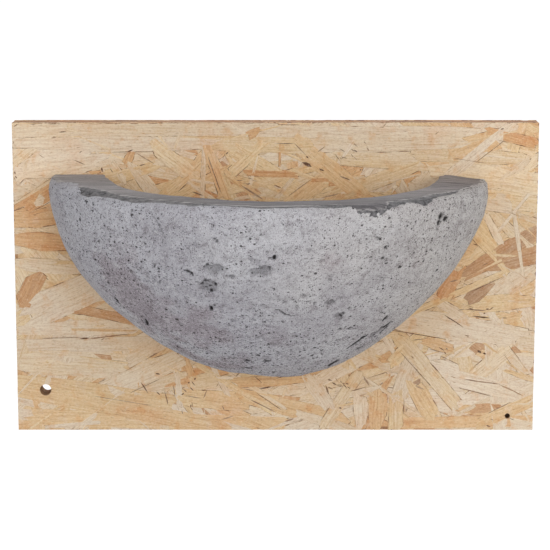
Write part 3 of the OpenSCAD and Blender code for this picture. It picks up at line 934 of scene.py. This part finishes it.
class BowlMesh:
    def __init__(self):
        self.profile, self.zone, self.flat = bowlProfile()
        self.points, self.normals, self.angle, self.run, self.row = [], [], [], [], []
        self.faces, self.starts, self.counts = [], [], []
        slope = np.gradient(self.profile, axis=0)
        self.travel = np.concatenate(([0], np.cumsum(np.linalg.norm(np.diff(self.profile, axis=0), axis=1))))
        for k, (radius, drop) in enumerate(self.profile):
            pole = radius < 1e-6
            count = 0 if pole else ringCount(radius, self.zone[k])
            self.starts.append(len(self.points))
            self.counts.append(count)
            tangent = slope[k] / np.linalg.norm(slope[k])
            out = (-tangent[1], -tangent[0])  # away from the concrete: radial part, upward part
            if pole:
                out = (0.0, -1.0 if k == 0 else 1.0)
            for j in range(count + 1):
                angle = math.pi * j / count if count else math.pi / 2
                self.points.append((bowlX - radius * math.cos(angle), boardFront - radius * math.sin(angle),
                                    rimZ - drop))
                self.normals.append((-out[0] * math.cos(angle), -out[0] * math.sin(angle), out[1]))
                self.angle.append(angle)
                self.run.append(self.travel[k])
                self.row.append(k)
        for k in range(len(self.profile) - 1):
            self.join(k, k + 1)
        self.points, self.normals = np.array(self.points), np.array(self.normals)
        self.angle, self.run = np.array(self.angle), np.array(self.run)
        self.radius, self.drop = self.profile[self.row].T
        self.part = self.zone[self.row]  # 0 for the outside, 1 for the rim, 2 for the cup
        self.side = np.cos(self.angle)  # 1 at the left end, -1 at the right

    def join(self, low, high):
        a, b, na, nb = self.starts[low], self.starts[high], self.counts[low], self.counts[high]
        if na == 0 or nb == 0:
            pole, ring, count = (a, b, nb) if na == 0 else (b, a, na)
            self.faces += [(pole, ring + j, ring + j + 1) for j in range(count)]
        elif na == nb:
            self.faces += [(a + j, a + j + 1, b + j + 1, b + j) for j in range(na)]
        else:
            fine, coarse, count = (a, b, nb) if na > nb else (b, a, na)
            for j in range(count):
                self.faces += [(fine + 2 * j, fine + 2 * j + 1, coarse + j),
                               (fine + 2 * j + 1, fine + 2 * j + 2, coarse + j + 1),
                               (fine + 2 * j + 1, coarse + j + 1, coarse + j)]


def onBowl(x, z):  # the point of the outside in front of x, z
    share = max(0.0, 1 - (max(rimZ - z, 0) / bowlLook["height"]) ** bowlLook["sidePower"])
    radius = bowlLook["radius"] * share ** (1 / bowlLook["basePower"])
    return Vector((x, boardFront - math.sqrt(max(radius ** 2 - (x - bowlX) ** 2, 0)), z))


def settle(bowl):  # where the bowl's points lie before the rough surface: rim ends, tilt and cup
    radius, drop, zone, side = bowl.radius, bowl.drop, bowl.part, bowl.side
    rounding = bowlLook["roundOut"]
    level = np.clip((radius - bowl.flat[0]) / rounding, 0, 1)
    upright = np.clip(1 - drop / rounding, 0, 1)
    square = 1 - np.where(side > 0, *bowlLook["rimSquare"]) * side ** 2
    innerSquare = 1 - bowlLook["cupSquare"] * side ** 2
    innerLevel = np.clip((bowl.flat[1] - radius) / bowlLook["roundIn"], 0, 1)
    innerUpright = np.clip(1 - drop / bowlLook["roundIn"], 0, 1)
    innerEdge = (zone == 1) & (radius < bowl.flat[1])
    edge = (zone == 1) & (radius > bowl.flat[0])
    push = np.where(edge, rounding * (level ** square - level), 0)
    lift = np.where(edge, rounding * (upright ** square - upright), 0)
    push -= np.where(innerEdge, bowlLook["roundIn"] * (innerLevel ** innerSquare - innerLevel), 0)
    lift += np.where(innerEdge, bowlLook["roundIn"] * (innerUpright ** innerSquare - innerUpright), 0)
    lift = lift + (bowlLook["rimTilt"][0] + bowlLook["rimTilt"][1] * side) * (1 - smooth(drop, 0, 30))
    outward = np.clip((radius - bowl.flat[1]) / (bowlLook["radius"] - bowl.flat[1]), 0, 1)
    outward = outward * (1 - smooth(drop, 0, 25)) * (zone < 2)
    lift = lift - bowlLook["endSlope"] * outward * np.clip(-side, 0, 1) ** 8
    lift = lift + bowlLook["endLift"] * smooth(-side, 0.86, 0.98) * (1 - smooth(drop, 0, 25))
    inward = np.where(zone == 1, smooth(bowl.flat[0] - radius, 0, bowl.flat[0] - bowl.flat[1]), zone == 2)
    pull = inward * np.interp(side, *zip(*bowlLook["cupPull"])) * (1 - smooth(drop, 4, 45))
    east = (pull - push) * side + bowlLook["cupOver"] * inward
    return bowl.points + np.stack([east, (pull - push) * np.sin(bowl.angle), lift], 1)


def roughen(bowl, points):  # how far each point lies off the true round, along its normal
    onRim = smooth(bowl.radius, bowl.flat[0], bowlLook["radius"] - 1)
    fade = np.where(bowl.part == 0, 1.0, np.where(bowl.part == 1, onRim, 0.0))
    left = np.interp(bowl.drop, *zip(*bowlLook["leftSide"])) * np.clip(bowl.side, 0, 1) ** 1.5
    right = np.interp(bowl.drop, *zip(*bowlLook["rightSide"])) * np.clip(-bowl.side, 0, 1) ** 1.5
    shift = (left + right) * fade
    for scale, seed, heights in bowlLook["lumps"]:
        shift += lumps(points, scale, seed) * np.array(heights)[bowl.part]
    flatter = bowlLook["frontFlat"] * smooth(bowl.radius, *bowlLook["flatFrom"])
    shift -= flatter * np.sin(bowl.angle) ** 2 * fade
    for x, z, reach, depth in bowlLook["hollows"]:
        far = np.linalg.norm(points - np.array(onBowl(x, z)), axis=1)
        shift -= depth * np.exp(-(far / reach) ** 2) * fade
    return shift


class Marks:  # depth of the craters, slits, pores and pits, and the painted shade that darkens their hollows
    def __init__(self, points, ragged):
        self.points, self.ragged = points, ragged
        self.pit, self.dark = np.zeros(len(points)), np.zeros(len(points))
        self.tree = kdtree.KDTree(len(points))
        for k, point in enumerate(points):
            self.tree.insert(point, k)
        self.tree.balance()

    def press(self, centre, size, depth, shade, rough):  # painted shade: a mark's hollow is darkened, most at a crater's upper wall, which faces down away from the light
        floor = bowlLook["floorDark"][0 if size > bowlLook["wideMark"] else 1]
        for spot, k, far in self.tree.find_range(centre, size * 1.7 + 0.4):
            reach = size * (1 + rough * self.ragged[k])
            amount = 1 - smooth(far, reach * min(0.45 + 0.08 * size, 0.75), reach * 1.12)
            brow = 4 * amount * (1 - amount) * min(max((spot.z - centre.z) / size + 0.2, 0), 1)
            if shade > bowlLook["allDark"]:
                share = amount
            else:
                share = min(floor * amount + bowlLook["browDark"] * brow, 1)
            self.pit[k] = max(self.pit[k], amount * depth)
            self.dark[k] = max(self.dark[k], share * shade)

    def seat(self, x, z):
        spot = onBowl(x, z)
        return self.tree.find(spot)[0] if z > rimZ - bowlLook["snap"] else spot

    def addListed(self):
        for x, z, size, depth, shade in bowlLook["craters"]:
            self.press(self.seat(x, z), size, depth, shade, 0.6)
        for x, y, size, depth in bowlLook["rimPits"]:
            self.press(self.tree.find(Vector((x, y, rimZ + 1)))[0], size, depth, 1.0, 0.7)
        for x, z, endX, endZ, width, depth, shade in bowlLook["slits"]:
            steps = int(math.hypot(endX - x, endZ - z) / bowlLook["slitStep"]) + 1
            for k in range(steps + 1):
                t = k / steps
                wander = 0.5 * noise.noise(Vector((x + 3 * t, z, 4.4)))
                taper = 0.55 + 0.45 * math.sin(math.pi * min(max(t, 0.05), 0.95))
                spot = self.seat(x + (endX - x) * t + wander, z + (endZ - z) * t + wander)
                self.press(spot, width * taper, depth * taper, shade, 0.3)

    def addChance(self, rng, outer):  # pores anywhere, and pits in the pitted places
        for k in range(bowlLook["pores"]):
            self.press(Vector(self.points[rng.choice(outer)]), rng.uniform(*bowlLook["poreSize"]),
                       rng.uniform(*bowlLook["poreDepth"]), bowlLook["poreDark"], 0.7)
        middles = [(onBowl(x, z), reach, count) for x, z, reach, count in bowlLook["pitted"]]
        for k in range(bowlLook["chancePitted"]):
            middles.append((Vector(self.points[rng.choice(outer)]), rng.uniform(*bowlLook["pitReach"]),
                            rng.randint(*bowlLook["pitCount"])))
        for middle, reach, count in middles:
            for k in range(count):
                spot = onBowl(middle.x + rng.gauss(0, 0.6) * reach, middle.z + rng.gauss(0, 0.5) * reach)
                self.press(spot, rng.uniform(*bowlLook["pitSize"]), rng.uniform(*bowlLook["pitDepth"]),
                           rng.uniform(*bowlLook["pitDark"]), 0.6)


def rimSkin(bowl, points, ragged, wavy):  # trowelled skin, where it broke off, its lip, and the worn edge
    rimTop = np.flatnonzero((bowl.part == 1) & (bowl.radius <= bowl.flat[0]))
    over = bowl.run[rimTop[0]] - bowl.run  # way down the outside from the rim's flat top
    level = np.stack([points[:, 0], points[:, 1], np.zeros(len(points))], 1)
    spill = bowlLook["spillEven"] + 0.9 * lumps(level, 0.16, 6)
    for x, reach, deep in bowlLook["spills"]:
        spill += deep * np.exp(-((points[:, 0] - x) / reach) ** 2) * (1 + 0.5 * ragged)
    spill += (np.where(bowl.side > 0, *bowlLook["spillEnds"]) - spill) * np.abs(bowl.side) ** 40
    covered, shell = smooth(spill - over, -0.7, 0.7), bowl.part < 2
    skin = np.where(shell, covered, 1 - smooth(bowl.drop, 4, 9))
    within = over + np.interp(bowl.side, *zip(*bowlLook["spallFrom"])) + 0.8 * wavy + 0.5 * ragged
    spalled = smooth(within, -0.5, 0.7) * covered * shell
    lip = np.exp(-((within + 0.4) / 0.6) ** 2) * (bowl.part == 1)
    loss = np.interp(bowl.side, *zip(*bowlLook["edgeLoss"])) * smooth(within, 0, 5)
    return skin, spalled, lip, loss * (1 - smooth(over, 3, 9)) * shell


def weather(bowl):  # roughens the bowl, and returns its points with the masks that its finish reads
    points = settle(bowl)
    ragged, wavy = lumps(points, 0.45, 5), lumps(points, 0.09, 7)
    marks = Marks(points, ragged)
    marks.addListed()
    marks.addChance(random.Random(bowlLook["seed"]), np.flatnonzero((bowl.part == 0) & (bowl.radius > 8)))
    stain = np.zeros(len(points))
    for x, z, reach, amount in bowlLook["stainsAndShading"]:
        far = np.linalg.norm(points - np.array(onBowl(x, z)), axis=1) * (1 + 0.5 * wavy)
        stain += amount * np.exp(-(far / reach) ** 2)
    skin, spalled, lip, loss = rimSkin(bowl, points, ragged, wavy)
    shift = roughen(bowl, points) + bowlLook["skinThick"] * skin - bowlLook["spallDeep"] * spalled
    shift += bowlLook["lipHigh"] * lip - loss
    moved = points + bowl.normals * (shift - marks.pit)[:, None]
    moved[np.isclose(points[:, 1], boardFront), 1] = boardFront
    moved[:, 1] = np.clip(moved[:, 1], bowlLow.y, boardFront)
    return moved, {"skin": skin, "dark": marks.dark, "stain": stain, "spalled": spalled, "lip": lip}


def bowlBody():
    bowl = BowlMesh()
    moved, masks = weather(bowl)
    work = bmesh.new()
    verts = [work.verts.new(p * mm) for p in moved]
    for face in bowl.faces:
        work.faces.new([verts[k] for k in face])
    count = len(work.faces)
    rim = [edge for edge in work.edges if edge.is_boundary]
    sides = bowlLook["plugSides"]
    for name in plugNames:
        x, z, radius = roundOf(name, bowlLook["plugClear"])
        low, high = boxOf(name)
        mouth, end = [], []
        for k in range(sides):
            turn = 2 * math.pi * k / sides
            spot = Vector((x + radius * math.cos(turn), boardFront, z + radius * math.sin(turn)))
            mouth.append(work.verts.new(spot * mm))
            end.append(work.verts.new((spot - Vector((0, high.y - low.y + bowlLook["plugEnd"], 0))) * mm))
        for k in range(sides):
            n = (k + 1) % sides
            work.faces.new((mouth[k], mouth[n], end[n], end[k]))
            rim.append(work.edges.get((mouth[k], mouth[n])))
        work.faces.new(end)
    bmesh.ops.triangle_fill(work, edges=rim, use_beauty=True)
    bmesh.ops.recalc_face_normals(work, faces=work.faces)
    mesh = bpy.data.meshes.new("nestBowl")
    work.to_mesh(mesh)
    work.free()
    extra = len(mesh.vertices) - len(moved)
    for name, values in masks.items():
        setFloats(mesh, name, np.concatenate((values, np.zeros(extra))))
    corners = cornersOf(mesh)
    angle = np.concatenate((bowl.angle, np.zeros(extra)))[corners]
    run = np.concatenate((bowl.run, np.zeros(extra)))[corners]
    setMap(mesh, "cast", np.stack([angle * bowlLook["radius"], run], 1))
    share, edge = bowlLook["sheetShare"], bowlLook["sheetEdge"]
    sheet = np.stack([angle / math.pi, run / bowl.travel[-1]], 1) * share + edge
    first = mesh.polygons[count].loop_start
    places = placesOf(mesh)[corners[first:]]
    east, high = places[:, 0] - bowlLow.x, places[:, 2] - bowlLow.z
    (start, wide), (backHigh, backWide) = bowlLook["backStrip"], bowlLook["backSize"]
    sheet[first:] = np.stack([start + high / backHigh * wide, edge + east / backWide * share], 1)
    setMap(mesh, "OFBake", sheet)
    mesh.polygons.foreach_set("use_smooth", np.arange(len(mesh.polygons)) < count)
    return mesh


def pores(look, crowd, scale, flat, share, size):  # ragged pits of mixed size in a share of the cells
    bend = look.node("ShaderNodeTexNoise", None, {"Vector": look.place(1.3), "Scale": 1.0, "Detail": 1.0},
                     out="Color")
    spots = look.stretch(look.place(scale), flat, flat, 1)
    spots = look.node("ShaderNodeVectorMath", {"operation": "MULTIPLY_ADD"},
                      {0: bend, 1: [scale * 0.9] * 3, 2: spots})
    cells = look.node("ShaderNodeTexVoronoi", None, {"Vector": spots, "Scale": 1.0})
    pick = look.node("ShaderNodeSeparateColor", None, {0: cells.also("Color")})
    radius = look.rise(pick + crowd, 1 - share, 1.0) * size
    return look.rise(cells - radius, 0.01, -0.05)


def concreteFinish():
    look = Finish("castConcrete", **{"Specular IOR Level": 0.3})
    cast = look.node("ShaderNodeUVMap", {"uv_map": "cast"})
    masks = ("skin", "dark", "stain", "spalled", "lip")
    skin, dark, stain, spalled, lip = (look.attribute(name) for name in masks)
    drift = look.clouds(look.place(0.018), 2.0, 0.5)
    mottle = look.clouds(look.place(0.075), 4.0, 0.6)
    smears = look.clouds(look.stretch(cast, 0.03, 0.2, 1), 3.0, 0.6, 0.6)
    sand = look.clouds(look.place(0.9), 3.0, 0.6)
    grit = look.clouds(look.place(2.4), 3.0, 0.7)
    patches = look.clouds(look.place(0.24), 3.0, 0.6, 0.3)
    east, ahead, low = (look.axis(name) for name in "XYZ")
    grey = look.mix(look.rise(mottle * 0.6 + drift * 0.5, 0.38, 0.72),
                    paint(170, 168, 171), paint(191, 191, 193))
    warm = look.rise(east + (drift - 0.5) * 90, -40.0, 90.0)
    grey = look.tint(1.0, grey, look.mix(warm, paint(249, 249, 255), paint(255, 250, 244)))
    grey = look.wash(grey, [
        # stains and painted shade darken, then painted light lightens where the amount is below zero
        ("MULTIPLY", stain + (mottle - 0.5) * 0.5 + (patches - 0.5) * 0.4, 0.20, 0.75, 1.0, (222, 213, 214)),
        ("MIX", stain + (mottle - 0.5) * 0.6, 0.0, -0.8, 0.6, (198, 198, 201)),
        ("MULTIPLY", patches, 0.50, 0.72, 0.75, (206, 201, 201)),
        ("MIX", patches, 0.45, 0.28, 0.30, (206, 205, 207)),
        ("MULTIPLY", smears, 0.50, 0.74, 0.40, (218, 215, 216)),
        ("MIX", sand, 0.56, 0.74, 0.40, (210, 209, 210)),
        ("MULTIPLY", sand, 0.47, 0.30, 0.60, (196, 190, 190)),
        ("MIX", grit, 0.54, 0.68, 0.65, (220, 219, 220)),
        ("MULTIPLY", grit, 0.46, 0.32, 0.90, (166, 160, 160)),
    ])
    ends = look.rise(look.node("ShaderNodeMath", {"operation": "ABSOLUTE"}, {0: east}), 35.0, 75.0)
    crowd = (mottle - 0.5) * 0.7 + look.rise(low, 5.0, -45.0) * 0.45 + ends * 0.17 - 0.06
    tiny = pores(look, crowd, 1.4, 0.85, 0.75, 0.46)
    fine = pores(look, crowd, 0.62, 0.8, 0.45, 0.32)
    wide = pores(look, crowd, 0.23, 0.7, 0.25, 0.18)
    holes = look.node("ShaderNodeMath", {"operation": "MAXIMUM"}, {0: fine, 1: wide})
    streaks = look.clouds(look.stretch(look.place(1.0), 0.04, 0.55, 0.55), 5.0, 0.7, 0.4)
    trowelled = look.mix(look.rise(streaks, 0.30, 0.72), paint(108, 105, 107), paint(168, 163, 163))
    trowelled = look.wash(trowelled, [
        ("MULTIPLY", grit, 0.48, 0.34, 0.5, (176, 172, 172)),
        ("MULTIPLY", ahead, -60.0, -95.0, 1.0, (188, 187, 190)),  # the rim's front is darkest
        ("MIX", east, -55.0, -95.0, 0.14, (190, 187, 189)),
        ("MULTIPLY", east, 60.0, 85.0, 0.6, (232, 227, 226)),
    ])
    spall = look.rise(spalled + (sand - 0.5) * 1.2 + (patches - 0.5) * 0.9, 0.40, 0.62)
    # painted shade: where the skin broke off, the step is coloured dark as the shade under the broken edge
    broken = look.mix(look.rise(sand * 0.5 + patches * 0.5, 0.38, 0.62),
                      paint(56, 55, 57), paint(118, 116, 118))
    trowelled = look.mix(spall, trowelled, broken)
    # painted highlight: a light streaked line along the raised lip of the skin
    trowelled = look.mix(lip * look.rise(streaks, 0.42, 0.56) * 0.6, trowelled, paint(196, 192, 190))
    coat = look.rise(skin + (sand - 0.5) * 0.9 + (mottle - 0.5) * 0.5, 0.44, 0.56)
    colour = look.mix(coat, grey, trowelled)
    # painted shade: the open pores are darkened as the shade inside them, fainter on the trowelled skin
    colour = look.tint(holes * 0.92 * (1 - coat * 0.75), colour, paint(100, 95, 95))
    colour = look.tint(tiny * 0.72 * (1 - coat), colour, paint(130, 124, 124))
    # painted shade in the hollows of the craters, slits, pores and pits
    colour = look.tint(look.rise(dark, 0.1, 0.95), colour, paint(78, 74, 74))
    rough = 0.93 - coat * 0.2 + (sand - 0.5) * 0.1
    height = sand * 0.7 + grit * 0.5 - holes * 2.0 * (1 - coat * 0.6) - tiny * 0.8 + coat * 0.5 - spall * 0.8
    return look.finish(colour, rough, height, 0.6, 0.35)


nestBowl = addPiece("nestBowl", bowlBody(), concreteFinish(), "nest_bowl")
print("bowl built:", len(nestBowl.data.polygons), "faces")


# Fasteners keep their own solids and get a plated and a moulded finish
def zincFinish():
    look = Finish("brightZinc", Metallic=1.0)
    haze = look.clouds(look.place(0.9), 4.0, 0.6)
    scratch = look.clouds(look.stretch(look.place(1.0), 0.6, 6.0, 0.6), 3.0)
    metal = look.mix(look.rise(haze, 0.35, 0.7), paint(176, 178, 182), paint(212, 214, 214))
    metal = look.wash(metal, [("MULTIPLY", scratch, 0.6, 0.8, 0.4, (186, 182, 170))])
    return look.finish(metal, 0.24 + haze * 0.28, scratch, 0.15, 0.05)


def nylonFinish():
    look = Finish("mouldedNylon")
    bloom = look.clouds(look.place(0.7), 3.0, 0.6)
    plastic = look.mix(bloom, paint(206, 206, 200), paint(226, 226, 221))
    return look.finish(plastic, 0.42 + bloom * 0.2, bloom, 0.1, 0.05)


for names, material in ((screwNames, zincFinish()), (plugNames, nylonFinish())):
    for name in names:
        node = frame["nodes"][name]
        node.data.materials.clear()
        node.data.materials.append(material)
print("fasteners finished")


# Floor, light and camera
stageLook = {
    "floorDrop": 0.55, "floorSize": 40.0, "floorGlow": 1.35, "glowShare": 0.72,
    "pitch": 10.5, "distance": 1038.7, "lens": 141.65, "shift": (-0.0009, 0.0060), "sensor": 36.0,
    "world": 0.30,
    # name, place in metres, size, watts
    "lamps": [("key", (0.7, -1.6, 0.25), 0.8, 7.2), ("side", (1.5, -0.9, 0.5), 0.8, 7.1),
              ("left", (-1.3, -1.2, 0.35), 1.2, 9.7), ("upper", (0.3, -1.0, 1.5), 0.8, 7.2),
              ("rear", (0.3, 1.6, 0.9), 1.2, 12.0)],
}


def addFloor():
    size, low = stageLook["floorSize"] / 2, boardLow.z * mm - stageLook["floorDrop"]
    corners = [(-size, -size, low), (size, -size, low), (size, size, low), (-size, size, low)]
    mesh = bpy.data.meshes.new("floor")
    mesh.from_pydata(corners, [], [(0, 1, 2, 3)])
    look = Finish("paleFloor", **{"Base Color": paint(235, 235, 235), "Roughness": 0.9})
    glow = look.node("ShaderNodeEmission", None, {"Color": (1, 1, 1, 1), "Strength": stageLook["floorGlow"]})
    share = look.seen() * stageLook["glowShare"]
    both = look.node("ShaderNodeMixShader", None, {0: share, 1: look.shader, 2: glow})
    look.feed(look.output.node.inputs["Surface"], both)
    mesh.materials.append(look.material)
    floor = bpy.data.objects.new("floor", mesh)
    bpy.context.scene.collection.objects.link(floor)


def addWorld():  # soft light for the object, behind it plain white
    world = bpy.data.worlds.new("studio")
    bpy.context.scene.world = world
    world.use_nodes = True
    sky = Nodes(world.node_tree)
    soft, plain = (sky.node("ShaderNodeBackground", None, {"Color": (1, 1, 1, 1), "Strength": strength})
                   for strength in (stageLook["world"], 1.0))
    both = sky.node("ShaderNodeMixShader", None, {0: sky.seen(), 1: soft, 2: plain})
    sky.node("ShaderNodeOutputWorld", None, {"Surface": both})


def addLamps():
    for name, place, size, watts in stageLook["lamps"]:
        lamp = bpy.data.lights.new(name, "AREA")
        lamp.energy, lamp.size = watts, size
        held = bpy.data.objects.new(name, lamp)
        held.location = place
        held.rotation_euler = (-Vector(place)).to_track_quat("-Z", "Y").to_euler()
        bpy.context.scene.collection.objects.link(held)


def addCamera():
    camera = bpy.data.cameras.new("camera")
    camera.lens, camera.sensor_width = stageLook["lens"], stageLook["sensor"]
    camera.shift_x, camera.shift_y = stageLook["shift"]
    held = bpy.data.objects.new("camera", camera)
    pitch = math.radians(stageLook["pitch"])
    away = stageLook["distance"] * mm
    held.location = (0, boardFront * mm - away * math.cos(pitch), away * math.sin(pitch))
    held.rotation_euler = (math.pi / 2 - pitch, 0, 0)
    bpy.context.scene.collection.objects.link(held)
    bpy.context.scene.camera = held


addFloor()
addWorld()
addLamps()
addCamera()
bpy.context.scene.view_settings.view_transform = "Standard"
print("stage set")
